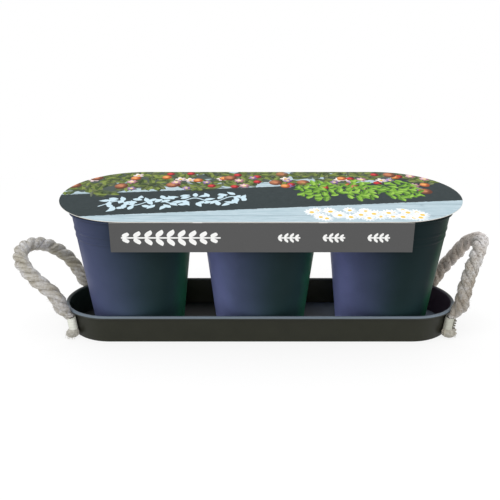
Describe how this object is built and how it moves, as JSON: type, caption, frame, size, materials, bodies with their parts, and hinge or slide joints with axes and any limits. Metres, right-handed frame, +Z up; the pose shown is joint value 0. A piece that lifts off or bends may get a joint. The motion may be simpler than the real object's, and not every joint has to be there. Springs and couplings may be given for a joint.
{
  "type": "indoor herb planter",
  "caption": "Tapered metal pots in a long round-ended tray with rope handles, under a lift-off display card with folded flaps, for growing herbs indoors.",
  "frame": {"origin": "on the table under the middle of the tray", "axes": "+X along the tray to its right-hand end, -Y to the front that the picture shows, +Z up"},
  "size_m": [0.4317, 0.1119, 0.1343],
  "materials": {
    "tray": "dark, slightly glossy lacquer over sheet steel",
    "rivet": "steel rivets lacquered with the tray",
    "sleeve": "pale cream enamelled crimp tube",
    "rope": "natural undyed cotton, three-strand twist",
    "pot": "dark lacquer with a sheen from blue-violet to green over sheet steel",
    "coir": "pressed coconut fibre",
    "sachet": "plain uncoated paper, crimped seams",
    "card_print": null,
    "card_flap": "coated folding boxboard, plain grey print"
  },
  "bodies": {
    "tray": {"rope_left_back_end": "rope", "rope_left_front_end": "rope", "rope_right_back_end": "rope", "rope_right_front_end": "rope", "rope_sleeve_left_back": "sleeve", "rope_sleeve_left_front": "sleeve", "rope_sleeve_right_back": "sleeve", "rope_sleeve_right_front": "sleeve", "sleeve_rivets": "rivet", "tray_floor": "tray", "tray_wall": "tray"},
    "handle_left": {"rope_left_loop": "rope"},
    "handle_right": {"rope_right_loop": "rope"},
    "pot_left": {"pot_left_wall": "pot", "pot_left_base": "pot", "coir_disc_left": "coir", "seed_sachet_left": "sachet"},
    "pot_middle": {"pot_middle_wall": "pot", "pot_middle_base": "pot", "coir_disc_middle": "coir", "seed_sachet_middle": "sachet"},
    "pot_right": {"pot_right_wall": "pot", "pot_right_base": "pot", "coir_disc_right": "coir", "seed_sachet_right": "sachet"},
    "card": {"card_top": "card_print"},
    "front_flap": {"card_front_flap": "card_flap"},
    "rear_flap": {"card_rear_flap": "card_flap"}
  },
  "joints": [
    {"name": "left_handle_hinge", "type": "hinge", "parent": "tray", "child": "handle_left", "pos_m": [-0.17759, 0, 0.035], "axis": [0, -1, 0], "range_deg": [-46, 46]},
    {"name": "right_handle_hinge", "type": "hinge", "parent": "tray", "child": "handle_right", "pos_m": [0.17759, 0, 0.035], "axis": [0, 1, 0], "range_deg": [-28, 64]},
    {"name": "pot_middle_lift", "type": "slide", "parent": "tray", "child": "pot_middle", "axis": [0, 0, 1], "range_m": [0, 0.13]},
    {"name": "pot_left_lift", "type": "slide", "parent": "tray", "child": "pot_left", "axis": [0, 0, 1], "range_m": [0, 0.13]},
    {"name": "pot_right_lift", "type": "slide", "parent": "tray", "child": "pot_right", "axis": [0, 0, 1], "range_m": [0, 0.13]},
    {"name": "card_lift", "type": "slide", "parent": "pot_middle", "child": "card", "axis": [0, 0, 1], "range_m": [0, 0.15]},
    {"name": "front_flap_fold", "type": "hinge", "parent": "card", "child": "front_flap", "pos_m": [0, -0.0561, 0.11339], "axis": [-1, 0, 0], "range_deg": [0, 90]},
    {"name": "rear_flap_fold", "type": "hinge", "parent": "card", "child": "rear_flap", "pos_m": [0, 0.0543, 0.13366], "axis": [1, 0, 0], "range_deg": [0, 90]}
  ],
  "couplings": [
    {"joint": "pot_left_lift", "follows": "pot_middle_lift", "ratio": 1},
    {"joint": "pot_right_lift", "follows": "pot_middle_lift", "ratio": 1}
  ]
}
